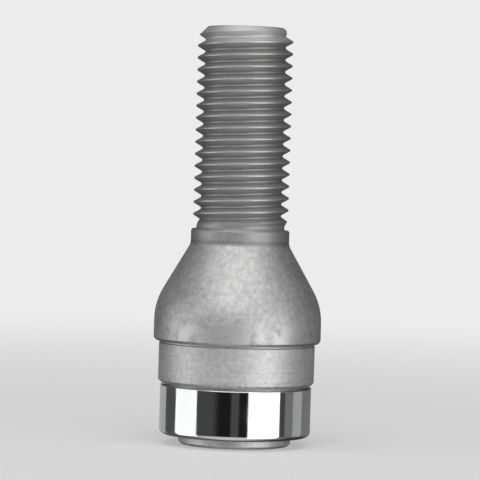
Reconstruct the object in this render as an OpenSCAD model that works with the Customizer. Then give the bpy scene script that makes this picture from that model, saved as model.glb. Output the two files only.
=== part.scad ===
// Locking wheel bolt: one forged and turned steel bolt with a coded key groove
// in its head, and the chrome plated cap that is pressed over the head.
// It stands on its head: Z runs up from the boss's end face to the thread's tip.

/* [Boss and key groove] */
// Mean radius of the groove's centre line
key_r = 4.5; // [4:0.1:6]
// Width of the groove
key_w = 1.5; // [1:0.1:1.8]
// Depth of the groove from the boss's face
key_depth = 3.2; // [1.5:0.1:5]
// Height of the wave that runs twice round the groove
key_wave_2 = 0.4; // [0:0.05:0.6]
// Height of the wave that runs three times round it
key_wave_3 = 0.4; // [0:0.05:0.5]
// Height of the wave that runs five times round it
key_wave_5 = 0.3; // [0:0.05:0.35]
// Least wall between the groove and the boss's side
boss_wall = 0.65; // [0.4:0.05:1.2]
// How far the boss stands out of the cap
boss_h = 1.2; // [0.5:0.1:3]
// Diameter of the centre drilling in the boss
dimple_d = 1.6; // [0.8:0.1:2.4]

/* [Chrome cap] */
// Width of the ring that the cap shows round the boss
cap_land = 2.35; // [1.5:0.05:5]
// Height of the cap
cap_h = 6.2; // [4:0.1:10]
// Thickness of the cap's wall and of its end plate
cap_wall = 0.8; // [0.5:0.05:1]
// Radius of the cap's outer corner
cap_corner = 0.6; // [0.2:0.05:0.75]
// Chamfer on the cap's rim and round its hole
cap_chamfer = 0.15; // [0.05:0.05:0.25]
// Radial clearance between the cap and the head inside it
cap_fit = 0.02; // [0.01:0.01:0.08]
// Radial clearance between the boss and the hole in the cap
boss_clear = 0.1; // [0.05:0.05:0.3]
// Open seam between the cap's rim and the collar
seam_gap = 0.3; // [0.1:0.05:0.6]

/* [Collar and flange] */
// How far the turned collar stands out past the cap
collar_over = 0.3; // [0.1:0.05:0.6]
// Length of the collar, from the cap's seam to the flange
collar_h = 5.2; // [2:0.1:10]
// Width of the fine turned line at the foot of the collar
line_w = 0.3; // [0.15:0.05:0.6]
// Depth of that line
line_depth = 0.25; // [0.1:0.05:0.6]
// How far the flange stands out past the collar
flange_over = 0.7; // [0.3:0.05:2]
// Height of the flange, from its step to the cone's corner
flange_h = 4.7; // [3.5:0.1:9]
// Radius of the shoulder that rolls the flange over into the cone
flange_round = 8; // [1:0.5:10]
// Chamfer on the bolt's small turned edges
edge_break = 0.3; // [0.1:0.05:0.4]

/* [Neck and cone seat] */
// Angle between the cone seat's flank and the axis
cone_half_angle = 30; // [22:1:42]
// Radius of the small hollow that blends the cone into the neck
cone_fillet = 1.5; // [0.5:0.1:2]
// How far the plain neck stands out past the thread's crests
neck_over = 0.2; // [0.1:0.05:1]
// Length from the foot of the cone to the end of the neck
neck_len = 1.9; // [1:0.1:12]

/* [Thread] */
// Major diameter of the thread, over its crests
thread_d = 11.9; // [8:0.1:14]
// Length from the end of the neck to the tip
thread_len = 25.2; // [14:0.1:60]
// Width of the relief groove's floor, where the thread runs out beside the neck
relief_w = 0.3; // [0.1:0.05:2]
// Depth of that groove below the crests
relief_depth = 0.45; // [0.2:0.05:0.9]
// Chamfer at the tip, the same along the axis and across it
tip_chamfer = 1.2; // [0.4:0.1:2]

/* [Hidden] */
$fn = 96;
// Where each of the three waves starts, in degrees
key_phase_2 = 20;
key_phase_3 = 75;
key_phase_5 = -10;
// Points along the groove, and along each rounded corner
key_steps = 120;
arc_steps = 8;
// How far a cut starts outside the solid
cut_over = 1;

// Radii, from the boss outwards, and along the shank
boss_r = key_r + key_wave_2 + key_wave_3 + key_wave_5 + key_w / 2 + boss_wall;
hole_r = boss_r + boss_clear;
cap_r = hole_r + cap_land;
bore_r = cap_r - cap_wall;
core_r = bore_r - cap_fit;
collar_r = cap_r + collar_over;
flange_r = collar_r + flange_over;
thread_r = thread_d / 2;
neck_r = thread_r + neck_over;

// Heights, from the boss's face up
core_z = boss_h + cap_wall;
rim_z = boss_h + cap_h;
collar_z = rim_z + seam_gap;
flange_z = collar_z + collar_h;
cone_z = flange_z + flange_h;
neck_z = cone_z + (flange_r - neck_r) / tan(cone_half_angle);
relief_z = neck_z + neck_len;
thread_z = relief_z + relief_w + relief_depth;
tip_z = relief_z + thread_len;

// A tangent arc of radius r takes this much of each line at the cone's corners
function tangent(r) = r * tan(cone_half_angle / 2);

// Points of an arc round a centre, both ends included
function arc(centre, r, from, to) =
    [for (i = [0:arc_steps])
        let (a = from + (to - from) * i / arc_steps)
        centre + r * [cos(a), sin(a)]];

// Radius of the groove's centre line at an angle, and its change per radian
function key_radius(a) = key_r
    + key_wave_2 * cos(2 * a + key_phase_2)
    + key_wave_3 * cos(3 * a + key_phase_3)
    + key_wave_5 * cos(5 * a + key_phase_5);
function key_slope(a) =
    -2 * key_wave_2 * sin(2 * a + key_phase_2)
    - 3 * key_wave_3 * sin(3 * a + key_phase_3)
    - 5 * key_wave_5 * sin(5 * a + key_phase_5);

// One side of the groove, a set distance out from its centre line
function key_side(out) =
    [for (i = [0:key_steps - 1])
        let (a = 360 * i / key_steps,
             r = key_radius(a),
             s = key_slope(a),
             normal = [s * sin(a) + r * cos(a), r * sin(a) - s * cos(a)])
        r * [cos(a), sin(a)] + out * normal / norm(normal)];

// The head, from the boss's face to the flange's edge
function head_profile() = [
    [0, 0],
    [boss_r - edge_break, 0],
    [boss_r, edge_break],
    [boss_r, core_z],
    [core_r - edge_break, core_z],
    [core_r, core_z + edge_break],
    [core_r, collar_z],
    [collar_r - edge_break, collar_z],
    [collar_r, collar_z + edge_break],
    [collar_r, flange_z - line_w],
    [collar_r - line_depth, flange_z - line_w],
    [collar_r - line_depth, flange_z],
    [flange_r - edge_break, flange_z],
    [flange_r, flange_z + edge_break]
];

// The cone seat, rounded into the flange below and the neck above
function seat_profile() = concat(
    arc([flange_r - flange_round, cone_z - tangent(flange_round)],
        flange_round, 0, cone_half_angle),
    arc([neck_r + cone_fillet, neck_z + tangent(cone_fillet)],
        cone_fillet, 180 + cone_half_angle, 180)
);

// The neck's end, the relief, the shank over its crests and the chamfered tip
function shank_profile() = [
    [neck_r, relief_z - neck_over],
    [thread_r, relief_z],
    [thread_r - relief_depth, relief_z],
    [thread_r - relief_depth, relief_z + relief_w],
    [thread_r, thread_z],
    [thread_r, tip_z - tip_chamfer],
    [thread_r - tip_chamfer, tip_z],
    [0, tip_z]
];

module key_groove() {
    translate([0, 0, -cut_over])
        linear_extrude(height = key_depth + cut_over)
            difference() {
                polygon(key_side(key_w / 2));
                polygon(key_side(-key_w / 2));
            }
}

module centre_drilling() {
    translate([0, 0, -cut_over])
        cylinder(h = cut_over + dimple_d / 2, r1 = cut_over + dimple_d / 2, r2 = 0);
}

module wheel_bolt() {
    color([0.62, 0.63, 0.61])
        difference() {
            rotate_extrude()
                polygon(concat(head_profile(), seat_profile(), shank_profile()));
            key_groove();
            centre_drilling();
        }
}

// A pressed cup with a hole in its end plate, which rests on the head's shoulder
module chrome_cap() {
    color([0.86, 0.87, 0.89])
        rotate_extrude()
            polygon(concat(
                [[hole_r, core_z],
                 [hole_r, boss_h + cap_chamfer],
                 [hole_r + cap_chamfer, boss_h]],
                arc([cap_r - cap_corner, boss_h + cap_corner], cap_corner, -90, 0),
                [[cap_r, rim_z - cap_chamfer],
                 [cap_r - cap_chamfer, rim_z],
                 [bore_r + cap_chamfer, rim_z],
                 [bore_r, rim_z - cap_chamfer],
                 [bore_r, core_z]]));
}

wheel_bolt();
chrome_cap();
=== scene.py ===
from math import ceil, cos, pi, radians, sin, tan

import bmesh
import bpy
from mathutils import Matrix, Vector


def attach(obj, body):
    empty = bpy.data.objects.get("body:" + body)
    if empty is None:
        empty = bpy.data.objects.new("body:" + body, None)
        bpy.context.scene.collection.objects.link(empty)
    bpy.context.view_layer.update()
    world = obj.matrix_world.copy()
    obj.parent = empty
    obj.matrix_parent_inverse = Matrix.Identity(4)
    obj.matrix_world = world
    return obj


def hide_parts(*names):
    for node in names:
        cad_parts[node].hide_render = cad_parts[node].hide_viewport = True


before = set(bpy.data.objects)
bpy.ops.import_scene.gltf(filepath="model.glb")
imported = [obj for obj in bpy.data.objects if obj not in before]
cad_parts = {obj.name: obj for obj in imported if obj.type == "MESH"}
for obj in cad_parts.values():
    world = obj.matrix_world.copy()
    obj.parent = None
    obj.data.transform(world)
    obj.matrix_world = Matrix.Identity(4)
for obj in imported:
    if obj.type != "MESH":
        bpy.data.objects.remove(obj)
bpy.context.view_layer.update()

MM = 0.001

# How finely the forms are made
ROUND = 160  # columns round every turned surface
LARGE_ARC, SMALL_ARC = radians(5), radians(20)  # turn from point to point of an arc
LARGEST_SMALL = 1  # roundings up to this radius are small arcs
WELD = 0.0001  # points closer than this are one point
SNAP = 30 * WELD  # points this near a level end of the thread lie on it
CREASE = radians(50)  # faces that meet at more than this keep a sharp edge

# Boss and key groove, from the axis outwards
EDGE = 0.3  # break of the boss's edge, and of the core, collar and flange
DIMPLE_R, ISLAND_R = 0.8, 1.2
KEY_R, KEY_W, KEY_DEPTH = 4.5, 1.5, 3.2
KEY_WAVES = ((2, 0.4, 20), (3, 0.4, 75), (5, 0.3, -10))  # times round, height, phase
KEY_LAND, EDGE_LAND = 0.13, 0.08  # flat beside the groove, and inside the boss's edge
BOSS_WALL, BOSS_H = 0.65, 1.2
BOSS_R = KEY_R + sum(height for _, height, _ in KEY_WAVES) + KEY_W / 2 + BOSS_WALL

# The cap and the head inside it
HOLE_R = BOSS_R + 0.1
CAP_R, CAP_H, CAP_WALL, CAP_CORNER, CAP_LIP = HOLE_R + 2.35, 6.2, 0.8, 0.6, 0.15
BORE_R = CAP_R - CAP_WALL
CORE_R, CORE_Z = BORE_R - 0.02, BOSS_H + CAP_WALL
RIM_Z = BOSS_H + CAP_H

# Collar, flange and cone seat
COLLAR_R, COLLAR_Z = CAP_R + 0.3, RIM_Z + 0.3
FLANGE_R, FLANGE_Z, FLANGE_ROUND = COLLAR_R + 0.7, COLLAR_Z + 5.2, 8.0
LINE_R, LINE_Z = COLLAR_R - 0.25, FLANGE_Z - 0.3
CONE_Z, CONE_HALF_ANGLE, CONE_FILLET = FLANGE_Z + 4.7, radians(30), 1.5

# Neck, relief groove, thread and tip
CREST_R, ROOT_R, PITCH, FLANK_ANGLE = 5.95, 5.03, 1.5, radians(30)
CREST_ROUND, ROOT_ROUND, ROOT_FLAT = 0.06, 0.15, PITCH / 6
NECK_OVER = 0.2
NECK_R = CREST_R + NECK_OVER
NECK_Z = CONE_Z + (FLANGE_R - NECK_R) / tan(CONE_HALF_ANGLE)
RELIEF_R, RELIEF_W, RELIEF_Z = CREST_R - 0.45, 0.3, NECK_Z + 1.9
THREAD_Z, RUN_OUT = RELIEF_Z + RELIEF_W, 1.2
TIP_Z, TIP_R, TIP_EDGE = RELIEF_Z + 25.2, CREST_R - 1.2, 0.12
HOLLOW_R, HOLLOW_ROUND, HOLLOW_DEPTH = 3.0, 3.0, 0.12


class Term:
    """One output of a node tree. Arithmetic on it adds Math nodes."""

    def __init__(self, tree, socket):
        self.tree, self.socket = tree, socket

    def __add__(self, other):
        return self.tree.math("ADD", self, other)

    def __radd__(self, other):
        return self.tree.math("ADD", other, self)

    def __sub__(self, other):
        return self.tree.math("SUBTRACT", self, other)

    def __rsub__(self, other):
        return self.tree.math("SUBTRACT", other, self)

    def __mul__(self, other):
        return self.tree.math("MULTIPLY", self, other)

    def __rmul__(self, other):
        return self.tree.math("MULTIPLY", other, self)

    def __truediv__(self, other):
        return self.tree.math("DIVIDE", self, other)


class Tree:
    """A node tree for shading or for geometry, and the ways to add nodes to it."""

    def __init__(self, tree):
        self.tree = tree
        tree.nodes.clear()

    def node(self, kind, settings=None, inputs=None, output=0):
        """Adds a node: its settings first, then the values or links of its sockets."""
        made = self.tree.nodes.new(kind)
        for name, value in (settings or {}).items():
            setattr(made, name, value)
        for name, value in (inputs or {}).items():
            if isinstance(value, Term):
                self.tree.links.new(value.socket, made.inputs[name])
            else:
                made.inputs[name].default_value = value
        return Term(self, made.outputs[output]) if made.outputs else made

    def math(self, operation, *values):
        """A Math node on one to three values."""
        return self.node("ShaderNodeMath", {"operation": operation},
                         dict(enumerate(values)))

    def step(self, value, low, high):
        """0 below low, 1 above high, and smooth between them."""
        return self.node("ShaderNodeMapRange", {"interpolation_type": "SMOOTHSTEP"},
                         {"Value": value, "From Min": low, "From Max": high})

    def mix(self, factor, first, second):
        """Colour between two colours."""
        return self.node("ShaderNodeMix", {"data_type": "RGBA"},
                         {0: factor, 6: first, 7: second}, 2)

    def axes(self, vector):
        """The three parts of a vector."""
        parts = self.node("ShaderNodeSeparateXYZ", None, {0: vector}).socket.node
        return [Term(self, output) for output in parts.outputs]


def rounded(*corners, clear=0.3, farthest=0.1):
    """Points along the lines between corners, given as (radius, height, rounding).

    Each rounding becomes an arc. A point just clear of each end of it, by a share
    of its radius, keeps the flat beside it flat under smooth shading."""
    chain = [Vector(corners[0][:2])]
    for before, here, after in zip(corners, corners[1:], corners[2:]):
        corner, rounding = Vector(here[:2]), here[2]
        back = (Vector(before[:2]) - corner).normalized()
        on = (Vector(after[:2]) - corner).normalized()
        turn = pi - back.angle(on)
        side = 1 if back.x * on.y < back.y * on.x else -1
        run = rounding * tan(turn / 2)
        centre = corner + (back + on).normalized() * rounding / cos(turn / 2)
        count = max(2, ceil(turn / (LARGE_ARC if rounding > LARGEST_SMALL else SMALL_ARC)))
        beyond = run + min(clear * rounding, farthest)
        if clear:
            chain.append(corner + back * beyond)
        for i in range(count + 1):
            turned = Matrix.Rotation(side * turn * i / count, 2)
            chain.append(centre + turned @ (corner + back * run - centre))
        if clear:
            chain.append(corner + on * beyond)
    return chain + [Vector(corners[-1][:2])]


def chain_mesh(name, chain, keyed=()):
    """A profile as a mesh of one chain of edges, with x its radius and z its height,
    and a mark on the points that follow the key groove."""
    mesh = bpy.data.meshes.new(name)
    mesh.from_pydata([(p.x * MM, 0, p.y * MM) for p in chain],
                     [(i, i + 1) for i in range(len(chain) - 1)], [])
    follows = mesh.attributes.new("keyed", "FLOAT", "POINT")
    follows.data.foreach_set("value", [float(i in keyed) for i in range(len(chain))])
    return mesh


def shape_tree(name, sizes):
    """A geometry tree with a geometry input, a material input and named sizes."""
    group = bpy.data.node_groups.new(name, "GeometryNodeTree")
    group.interface.new_socket("Geometry", in_out="OUTPUT",
                               socket_type="NodeSocketGeometry")
    for title, kind in [("Profile", "Geometry"), ("Finish", "Material"), *sizes]:
        group.interface.new_socket(title, in_out="INPUT",
                                   socket_type="NodeSocket" + kind)
    tree = Tree(group)
    start = group.nodes.new("NodeGroupInput")
    return tree, {s.name: Term(tree, s) for s in start.outputs if s.name}


def columns(tree, given, rows):
    """A grid that close_tree winds into a tube, and its points' rows and angles."""
    grid = tree.node("GeometryNodeMeshGrid", None,
                     {"Vertices X": given["Columns"] + 1, "Vertices Y": rows})
    index = tree.node("GeometryNodeInputIndex")
    column = tree.math("FLOOR", index / rows)
    return grid, index - column * rows, column * (2 * pi) / given["Columns"]


def point_count(tree, given):
    """How many points the profile has."""
    return tree.node("GeometryNodeAttributeDomainSize", {"component": "MESH"},
                     {"Geometry": given["Profile"]})


def point_of(tree, given, index):
    """Radius, height and keyed mark of a point of the profile."""
    place = tree.node("GeometryNodeSampleIndex", {"data_type": "FLOAT_VECTOR"},
                      {0: given["Profile"], 1: tree.node("GeometryNodeInputPosition"),
                       2: index})
    mark = tree.node("GeometryNodeInputNamedAttribute", {"data_type": "FLOAT"},
                     {"Name": "keyed"})
    keyed = tree.node("GeometryNodeSampleIndex", {"data_type": "FLOAT"},
                      {0: given["Profile"], 1: mark, 2: index})
    radius, _, height = tree.axes(place)
    return radius, height, keyed


def close_tree(tree, given, grid, x, y, z):
    """Winds the grid up, welds its seam and poles, and gives it its finish."""
    place = tree.node("ShaderNodeCombineXYZ", None, {"X": x, "Y": y, "Z": z})
    wound = tree.node("GeometryNodeSetPosition", None,
                      {"Geometry": grid, "Position": place})
    welded = tree.node("GeometryNodeMergeByDistance", None,
                       {"Geometry": wound, "Distance": WELD * MM})
    real = tree.node("GeometryNodeRealizeInstances", None, {"Geometry": welded})
    finished = tree.node("GeometryNodeSetMaterial", None,
                         {"Geometry": real, "Material": given["Finish"]})
    tree.node("NodeGroupOutput", None, {"Geometry": finished})
    return tree.tree


def turned_form_tree():
    """Turns a profile round the axis.

    A keyed point of the profile keeps its distance from the waved centre line of
    the key groove instead of its distance from the axis."""
    sizes = [("Columns", "Int"), ("Key Radius", "Float")]
    for times, _, _ in KEY_WAVES:
        sizes += [(f"Wave {times} Height", "Float"), (f"Wave {times} Phase", "Float")]
    tree, given = shape_tree("turned_form", sizes)
    grid, row, angle = columns(tree, given, point_count(tree, given))
    radius, height, keyed = point_of(tree, given, row)
    line, slope = given["Key Radius"], 0
    for times, _, _ in KEY_WAVES:
        size = given[f"Wave {times} Height"]
        phase = times * angle + given[f"Wave {times} Phase"]
        line = line + size * tree.math("COSINE", phase)
        slope = slope - times * size * tree.math("SINE", phase)
    line, slope = line * keyed, slope * keyed
    along = line + (1 - keyed)  # plain points stand straight out from the axis
    c, s = tree.math("COSINE", angle), tree.math("SINE", angle)
    out_x, out_y = slope * s + along * c, along * s - slope * c
    reach = radius / tree.math("SQRT", out_x * out_x + out_y * out_y)
    return close_tree(tree, given, grid, line * c + reach * out_x,
                      line * s + reach * out_y, height)


def rolled_thread_tree():
    """Winds one pitch of thread profile up the shank as a right-hand helix.

    The turns are cut off level at both ends, fade into the blank at the start and
    are trimmed by the tip's chamfer."""
    tree, given = shape_tree("rolled_thread", [
        ("Columns", "Int"), ("Pitch", "Float"), ("Start", "Float"), ("End", "Float"),
        ("Blank Radius", "Float"), ("Run Out", "Float"), ("End Radius", "Float")])
    start, end, pitch = given["Start"], given["End"], given["Pitch"]
    points = point_count(tree, given)
    turns = tree.math("CEIL", (end - start) / pitch) + 2  # one to spare at each end
    grid, row, angle = columns(tree, given, points * turns + 1)
    turn = tree.math("FLOOR", row / points)
    radius, height, _ = point_of(tree, given, row - turn * points)
    raw = start + pitch * (turn - 1 + angle / (2 * pi)) + height
    z = start + (raw - start) * tree.math("GREATER_THAN", raw, start + SNAP * MM)
    z = end + (z - end) * tree.math("LESS_THAN", z, end - SNAP * MM)
    blank = given["Blank Radius"]
    fade = tree.step((z - start) / given["Run Out"], 0, 1)
    radius = blank + (radius - blank) * fade
    radius = tree.math("MINIMUM", radius, given["End Radius"] + end - z)
    return close_tree(tree, given, grid, radius * tree.math("COSINE", angle),
                      radius * tree.math("SINE", angle), z)


def placed(name, data):
    """An object of the scene, made from a mesh, a lamp or a camera."""
    made = bpy.data.objects.new(name, data)
    bpy.context.scene.collection.objects.link(made)
    return made


def shaped(group, profile, finish, **sizes):
    """Runs a geometry tree on a profile, and returns the plain mesh that it makes."""
    work = placed(profile.name, profile)
    modifier = work.modifiers.new(group.name, "NODES")
    modifier.node_group = group
    sizes = {key.replace("_", " "): value for key, value in sizes.items()}
    values = {"Finish": finish, "Columns": ROUND, **sizes}
    for item in group.interface.items_tree:
        if item.in_out == "INPUT" and item.name in values:
            modifier[item.identifier] = values[item.name]
    shown = work.evaluated_get(bpy.context.evaluated_depsgraph_get())
    mesh = bpy.data.meshes.new_from_object(shown)
    mesh.materials.clear()
    mesh.materials.append(finish)
    bpy.data.objects.remove(work)
    return mesh


def piece(name, *meshes):
    """Welds meshes into one closed piece, each with the material that it came with."""
    whole = bpy.data.meshes.new(name)
    form = bmesh.new()
    finishes = list(dict.fromkeys(mesh.materials[0] for mesh in meshes))
    for finish in finishes:
        whole.materials.append(finish)
    for mesh in meshes:
        first = len(form.faces)
        form.from_mesh(mesh)
        form.faces.ensure_lookup_table()
        for face in form.faces[first:]:
            face.material_index = finishes.index(mesh.materials[0])
            face.smooth = True
    bmesh.ops.remove_doubles(form, verts=form.verts, dist=WELD * MM)
    form.to_mesh(whole)
    form.free()
    whole.set_sharp_from_angle(angle=CREASE)
    return placed(name, whole)


def finish_tree(name):
    """A new material, its tree, and the place on the piece in millimetres."""
    material = bpy.data.materials.new(name)
    material.use_nodes = True
    tree = Tree(material.node_tree)
    coords = tree.node("ShaderNodeTexCoord", output="Object")
    place = tree.node("ShaderNodeVectorMath", {"operation": "SCALE"},
                      {"Vector": coords, "Scale": 1 / MM})
    return material, tree, place


def grain(tree, place, size, detail=2, stretch=None):
    """Noise, 0 to 1, whose lumps are about one size across, in millimetres."""
    if stretch:
        place = tree.node("ShaderNodeVectorMath", {"operation": "MULTIPLY"},
                          {0: place, 1: stretch})
    return tree.node("ShaderNodeTexNoise", None,
                     {"Vector": place, "Scale": 1 / size, "Detail": detail})


def grey(value, tint=(1, 1, 1)):
    """A colour of one brightness, 0 to 1, with a slight tint."""
    return (value * tint[0], value * tint[1], value * tint[2], 1)


def close_finish(tree, colour, roughness, metallic, height, depth, strength=1,
                 glancing=1):
    """The metal shader. Height is 0 to 1, and depth is in millimetres. Glancing is
    the share of light that it keeps where it is seen nearly edge-on."""
    bump = tree.node("ShaderNodeBump", None, {
        "Height": height, "Distance": depth * MM, "Strength": strength})
    shader = tree.node("ShaderNodeBsdfPrincipled", None, {
        "Base Color": colour, "Roughness": roughness, "Metallic": metallic,
        "Specular Tint": grey(glancing), "Normal": bump})
    tree.node("ShaderNodeOutputMaterial", None, {"Surface": shader})


# Tints of the coated steel and the chrome, and a dark for pits that is also painted shade
# in corners and roots
STEEL, CHROME = (0.997, 1.0, 0.993), (0.985, 0.99, 1.0)
GRIME_AND_SHADE = grey(0.2, STEEL)


def turned_steel():
    """The collar, core and boss: satin turned steel with faint lathe lines, and
    small dark pits along the collar's edge at the seam."""
    material, tree, place = finish_tree("turned_steel")
    z = tree.axes(place)[2]
    lines = grain(tree, place, 0.25, detail=3, stretch=(0.03, 0.03, 1))
    clouds = grain(tree, place, 3.0)
    mottle = grain(tree, place, 0.6, detail=3)
    tone = tree.step(0.3 * lines + 0.2 * clouds + 0.5 * mottle, 0.34, 0.66)
    colour = tree.mix(tone, grey(0.63, STEEL), grey(0.8, STEEL))
    seam = 1 - tree.step(tree.math("ABSOLUTE", z - (COLLAR_Z + EDGE)), 0.1, 1.0)
    pits = tree.step(grain(tree, place, 0.3, detail=0) + 0.1 * seam, 0.73, 0.8)
    colour = tree.mix(0.5 * pits * seam, colour, GRIME_AND_SHADE)
    close_finish(tree, colour, 0.51 + 0.08 * clouds, metallic=0.95, height=lines,
                 depth=0.006, strength=0.6, glancing=0.3)
    return material


def coated_steel():
    """The flange, cone seat, neck and tip: a thin matt zinc coat over the forged
    steel, rubbed in patches round the flange's rim, with painted shade over the neck
    and a painted shade line in the neck's corner."""
    material, tree, place = finish_tree("coated_steel")
    z = tree.axes(place)[2]
    specks = grain(tree, place, 0.2, detail=4)
    mottle = grain(tree, place, 0.7, detail=3)
    clouds = grain(tree, place, 3.0)
    patches = grain(tree, place, 1.5, detail=4)
    tone = tree.step(0.4 * specks + 0.4 * mottle + 0.2 * clouds, 0.35, 0.65)
    coat = tree.mix(tone, grey(0.5, STEEL), grey(0.72, STEEL))
    rim_top = FLANGE_Z + 2.7
    rim = 1 - tree.step(z + 1.6 * (patches - 0.5), rim_top - 0.4, rim_top + 0.4)
    rubbed = rim * tree.step(patches + 0.3 * (specks - 0.5), 0.36, 0.56)
    colour = tree.mix(rubbed, coat, grey(0.7))
    tip = tree.step(z, THREAD_Z, TIP_Z - 2)
    # painted shade: the neck's band of coat is darkened
    neck = tree.step(z, NECK_Z, NECK_Z + 0.5) * (1 - tip)
    colour = tree.mix(0.5 * neck, colour, grey(0.3, STEEL))
    # painted shade: a dark line in the corner where the neck meets the cone
    corner = 1 - tree.step(tree.math("ABSOLUTE", z - (NECK_Z + 0.25)), 0.1, 0.45)
    colour = tree.mix(0.5 * corner, colour, GRIME_AND_SHADE)
    close_finish(tree, colour, 0.52 + 0.08 * specks - 0.08 * rubbed, metallic=1.0,
                 height=0.6 * specks + 0.4 * mottle, depth=0.02, strength=0.8,
                 glancing=0.2)
    return material


def thread_steel():
    """The rolled thread: a dull coat with painted shade in the roots, rubbed brighter
    on the crests and bright at the tip's chamfer."""
    material, tree, place = finish_tree("thread_steel")
    x, y, z = tree.axes(place)
    radius = tree.math("SQRT", x * x + y * y)
    specks = grain(tree, place, 0.25, detail=3)
    clouds = grain(tree, place, 2.2)
    crest = tree.step(radius + 0.3 * (clouds - 0.5), CREST_R - 0.45, CREST_R)
    low = tree.mix(specks, grey(0.45, STEEL), grey(0.54, STEEL))
    high = tree.mix(clouds, grey(0.46, STEEL), grey(0.6, STEEL))
    colour = tree.mix(crest, low, high)
    # painted shade: the thread's roots are darkened where shade falls
    root = 1 - tree.step(radius, ROOT_R + 0.05, ROOT_R + 0.25)
    colour = tree.mix(0.15 * root, colour, GRIME_AND_SHADE)
    bright = tree.step(z + 0.4 * (clouds - 0.5), TIP_Z - 2.6, TIP_Z - 1.4)
    colour = tree.mix(bright, colour, grey(0.7, STEEL))
    close_finish(tree, colour, 0.55 - 0.1 * crest, metallic=0.95, height=specks,
                 depth=0.02, strength=0.7, glancing=0.3)
    return material


def chrome_plate():
    """The cap: bright chrome plate on a drawn cup, with slight waves and smudges."""
    material, tree, place = finish_tree("chrome_plate")
    smudge = grain(tree, place, 2.0, detail=3, stretch=(1, 1, 0.4))
    waves = grain(tree, place, 2.5, detail=1, stretch=(1, 1, 0.5))
    colour = tree.mix(smudge, grey(0.84, CHROME), grey(0.78, CHROME))
    close_finish(tree, colour, 0.06 + 0.07 * tree.step(smudge, 0.45, 0.75),
                 metallic=1.0, height=waves, depth=0.012)
    return material


def head_profile():
    """Centre drilling, key groove, boss, core and collar, up to the flange."""
    half = KEY_W / 2
    inner = rounded((0, DIMPLE_R), (DIMPLE_R, 0, 0.05), (ISLAND_R, 0))
    groove = rounded(
        (-half - KEY_LAND, 0), (-half, 0, 0.1), (-half, KEY_DEPTH, 0.15),
        (half, KEY_DEPTH, 0.15), (half, 0, 0.1), (half + KEY_LAND, 0))
    outer = rounded(
        (BOSS_R - EDGE - EDGE_LAND, 0), (BOSS_R - EDGE, 0, 0.1), (BOSS_R, EDGE, 0.1),
        (BOSS_R, CORE_Z, 0.1), (CORE_R - EDGE, CORE_Z, 0.1),
        (CORE_R, CORE_Z + EDGE, 0.1), (CORE_R, COLLAR_Z, 0.08),
        (COLLAR_R - EDGE, COLLAR_Z, 0.15), (COLLAR_R, COLLAR_Z + EDGE, 0.15),
        (COLLAR_R, LINE_Z, 0.06), (LINE_R, LINE_Z, 0.08), (LINE_R, FLANGE_Z))
    keyed = range(len(inner), len(inner) + len(groove))
    return chain_mesh("head", inner + groove + outer, keyed)


def seat_profile():
    """Flange, shoulder, cone seat, neck and relief groove, up to the thread."""
    return chain_mesh("seat", rounded(
        (LINE_R, FLANGE_Z), (FLANGE_R - EDGE, FLANGE_Z, 0.12),
        (FLANGE_R, FLANGE_Z + EDGE, 0.2), (FLANGE_R, CONE_Z, FLANGE_ROUND),
        (NECK_R, NECK_Z, CONE_FILLET), (NECK_R, RELIEF_Z - NECK_OVER, 0.1),
        (CREST_R, RELIEF_Z, 0.08), (RELIEF_R, RELIEF_Z, 0.12), (RELIEF_R, THREAD_Z)))


def pitch_profile():
    """One pitch of the thread, from the middle of a root to the middle of the next."""
    low_z = ROOT_FLAT / 2
    high_z = low_z + (CREST_R - ROOT_R) * tan(FLANK_ANGLE)
    return chain_mesh("pitch_chain", rounded(
        (ROOT_R, 0), (ROOT_R, low_z, ROOT_ROUND), (CREST_R, high_z, CREST_ROUND),
        (CREST_R, PITCH - high_z, CREST_ROUND), (ROOT_R, PITCH - low_z, ROOT_ROUND),
        (ROOT_R, PITCH), clear=0)[:-1])


def tip_profile():
    """The last of the chamfer, and the end face with its shallow hollow."""
    return chain_mesh("tip", rounded(
        (TIP_R + TIP_EDGE, TIP_Z - TIP_EDGE), (TIP_R, TIP_Z, 0.1),
        (HOLLOW_R, TIP_Z, HOLLOW_ROUND), (0, TIP_Z - HOLLOW_DEPTH)))


def cup_profile():
    """The cap's section: round its wall and end plate and back to the start."""
    start = (HOLE_R, (CORE_Z + BOSS_H) / 2)
    return chain_mesh("cup", rounded(
        start, (HOLE_R, BOSS_H, CAP_LIP), (CAP_R, BOSS_H, CAP_CORNER),
        (CAP_R, RIM_Z, CAP_LIP), (BORE_R, RIM_Z, CAP_LIP), (BORE_R, CORE_Z, 0.04),
        (HOLE_R, CORE_Z, 0.04), start))


turned_form = turned_form_tree()


def locking_bolt():
    """The whole bolt, one closed form from the boss to the tip."""
    coat = coated_steel()
    key = {"Key_Radius": KEY_R * MM}
    for times, size, phase in KEY_WAVES:
        key[f"Wave_{times}_Height"] = size * MM
        key[f"Wave_{times}_Phase"] = radians(phase)
    head = shaped(turned_form, head_profile(), turned_steel(), **key)
    seat = shaped(turned_form, seat_profile(), coat)
    thread = shaped(rolled_thread_tree(), pitch_profile(), thread_steel(),
                    Pitch=PITCH * MM, Start=THREAD_Z * MM, End=(TIP_Z - TIP_EDGE) * MM,
                    Blank_Radius=RELIEF_R * MM, Run_Out=RUN_OUT * MM,
                    End_Radius=(TIP_R + TIP_EDGE) * MM)
    return piece("locking_bolt", head, seat, thread,
                 shaped(turned_form, tip_profile(), coat))


bolt = locking_bolt()
cap = piece("pressed_cap", shaped(turned_form, cup_profile(), chrome_plate()))
for made, node, slot in ((bolt, "wheel_bolt", "bolt_steel"),
                         (cap, "chrome_cap", "cap_chrome")):
    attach(made, "root")
    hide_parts(node)

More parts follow.
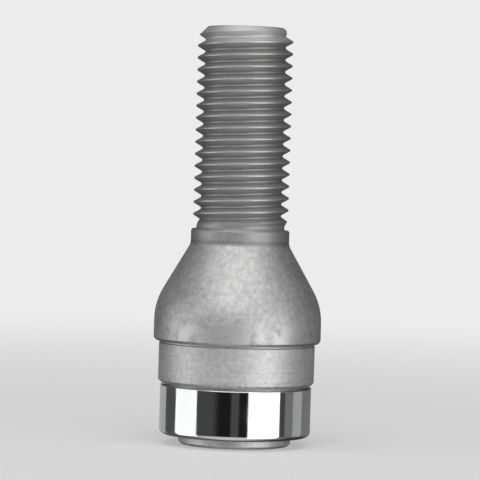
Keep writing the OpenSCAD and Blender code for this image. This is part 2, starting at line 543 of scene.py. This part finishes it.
# The camera looks at the middle of the bolt from a little to the left and above
AIM = Vector((0, 0, 25.6)) * MM
CAMERA_TURN, CAMERA_AWAY, CAMERA_Z = radians(-7.5), 350 * MM, 35.6 * MM
LEAN, LENS = radians(1.7), 210  # it shows the upright bolt leaning to the right


def around(turn, away, z):
    """A point round the bolt. Turn is measured from the camera, to the right."""
    turn += CAMERA_TURN
    return Vector((sin(turn) * away, -cos(turn) * away, z))


camera = placed("camera", bpy.data.cameras.new("camera"))
camera.location = around(0, CAMERA_AWAY, CAMERA_Z)
facing = (AIM - camera.location).to_track_quat("-Z", "Y").to_matrix()
camera.rotation_euler = (facing @ Matrix.Rotation(LEAN, 3, "Z")).to_euler()
camera.data.lens = LENS
camera.data.clip_start, camera.data.clip_end = 10 * MM, 10000 * MM
bpy.context.scene.camera = camera


def lamp(name, width, height, radiance, place, target):
    """A flat lamp of the given brightness, hidden from the camera."""
    light = bpy.data.lights.new(name, "AREA")
    light.shape, light.size, light.size_y = "RECTANGLE", width, height
    light.energy = radiance * pi * width * height
    made = placed(name, light)
    made.location = place
    made.rotation_euler = (target - place).to_track_quat("-Z", "Y").to_euler()
    made.visible_camera = False


def soft_box(name, turn, width, radiance, away=0.6, low=-0.36, high=0.2):
    """An upright lamp that faces the bolt's axis, and shows as a bright band in the
    cap's chrome."""
    middle = (low + high) / 2
    lamp(name, width, high - low, radiance, around(radians(turn), away, middle),
         Vector((0, 0, middle)))


# Lamps, in metres
soft_box("left_box", turn=-81, width=0.46, radiance=1.2)
soft_box("right_box", turn=45.5, width=0.572, radiance=1.7)
lamp("top_box", width=0.7, height=0.86, radiance=1.0,
     place=around(radians(-6), 0.29, 0.5), target=AIM)

# Floor, which bends up into a wall all round
WALL_R, WALL_TOP, BEND_R, BEND_STEP = 1600, 1400, 400, 3
FLOOR_RINGS = (500, 100, 0)  # radii at which the flat part is divided
FLOOR_DROP = 0.01  # keeps it clear of the bolt's end face
FLOOR_PAINT, FLOOR_SHOWN = grey(0.88), (0.84, 0.84, 0.845, 1)


def floor_finish():
    """Pale matt paint. Far from the bolt the floor shows its own colour, however
    little light falls there."""
    material, tree, place = finish_tree("studio_floor")
    x, y, z = tree.axes(place)
    paint = tree.node("ShaderNodeBsdfDiffuse", None, {"Color": FLOOR_PAINT})
    shown = tree.node("ShaderNodeEmission", None, {"Color": FLOOR_SHOWN})
    rays = tree.node("ShaderNodeLightPath").socket.node.outputs
    seen = sum(Term(tree, rays[name]) for name in (
        "Is Camera Ray", "Is Glossy Ray", "Is Transmission Ray"))
    far = tree.step(tree.math("SQRT", x * x + y * y + z * z), 40, 300)
    surface = tree.node("ShaderNodeMixShader", None,
                        {0: seen * (0.4 + 0.6 * far), 1: paint, 2: shown})
    tree.node("ShaderNodeOutputMaterial", None, {"Surface": surface})
    return material


def floor_profile():
    """Down from the wall's top, round the bend and in to the middle of the floor."""
    points = [(WALL_R, WALL_TOP)]
    for degrees in range(0, 91, BEND_STEP):
        turn = radians(degrees)
        points.append((WALL_R - BEND_R + BEND_R * cos(turn), BEND_R - BEND_R * sin(turn)))
    points += [(ring, 0) for ring in FLOOR_RINGS]
    return chain_mesh("sweep", [Vector(point) for point in points])


floor = piece("studio_floor", shaped(turned_form, floor_profile(), floor_finish()))
floor.data.transform(Matrix.Translation((0, 0, -FLOOR_DROP * MM)))
floor.visible_glossy = False

# What the metal mirrors past the floor: the glow of the walls and of the ceiling
WALL_DARK = 0.012
WALL_BANDS = (  # first and last turn and softness, in degrees, and how much brighter
    (-66, -36, 14, 0.05), (-4, 4, 4, 0.06), (72, 200, 2, 0.05), (84, 200, 4, 0.12),
    (102, 120, 5, 0.2), (-131, -98, 3, 0.07), (-200, -133, 3, 0.4))
CEILING_FRONT, CEILING_BACK, CEILING_RIGHT, CEILING_TOP = 0.62, 0.1, 0.04, 0.32


def studio_world():
    """Near the horizon a dark room in front, a dark gap beside each lamp and grey
    walls behind. Above and below them a ceiling that is lightest in front."""
    world = bpy.data.worlds.new("studio")
    world.use_nodes = True
    world.cycles.sampling_method = "NONE"
    tree = Tree(world.node_tree)
    x, y, z = tree.axes(tree.node("ShaderNodeTexCoord", output="Generated"))
    c, s = cos(CAMERA_TURN), sin(CAMERA_TURN)
    turn = tree.math("ARCTAN2", x * c + y * s, x * s - y * c) * (180 / pi)
    walls = WALL_DARK
    for first, last, soft, glow in WALL_BANDS:
        walls = walls + glow * (tree.step(turn, first - soft, first)
                                * (1 - tree.step(turn, last, last + soft)))
    behind = tree.step(tree.math("ABSOLUTE", turn), 30, 110)
    right = tree.step(turn, 60, 120)
    ceiling = CEILING_FRONT + (CEILING_BACK - CEILING_FRONT) * behind
    ceiling = ceiling + (CEILING_RIGHT - CEILING_BACK) * right
    ceiling = ceiling + tree.step(z, 0.5, 0.9) * (CEILING_TOP - ceiling)
    level = tree.step(z, 0.0, 0.15) + tree.step(0 - z, 0.2, 0.45)
    shade = tree.node("ShaderNodeBackground", None,
                      {"Color": walls + level * (ceiling - walls)})
    tree.node("ShaderNodeOutputWorld", None, {"Surface": shade})
    return world


bpy.context.scene.world = studio_world()
bpy.context.scene.view_settings.view_transform = "Standard"
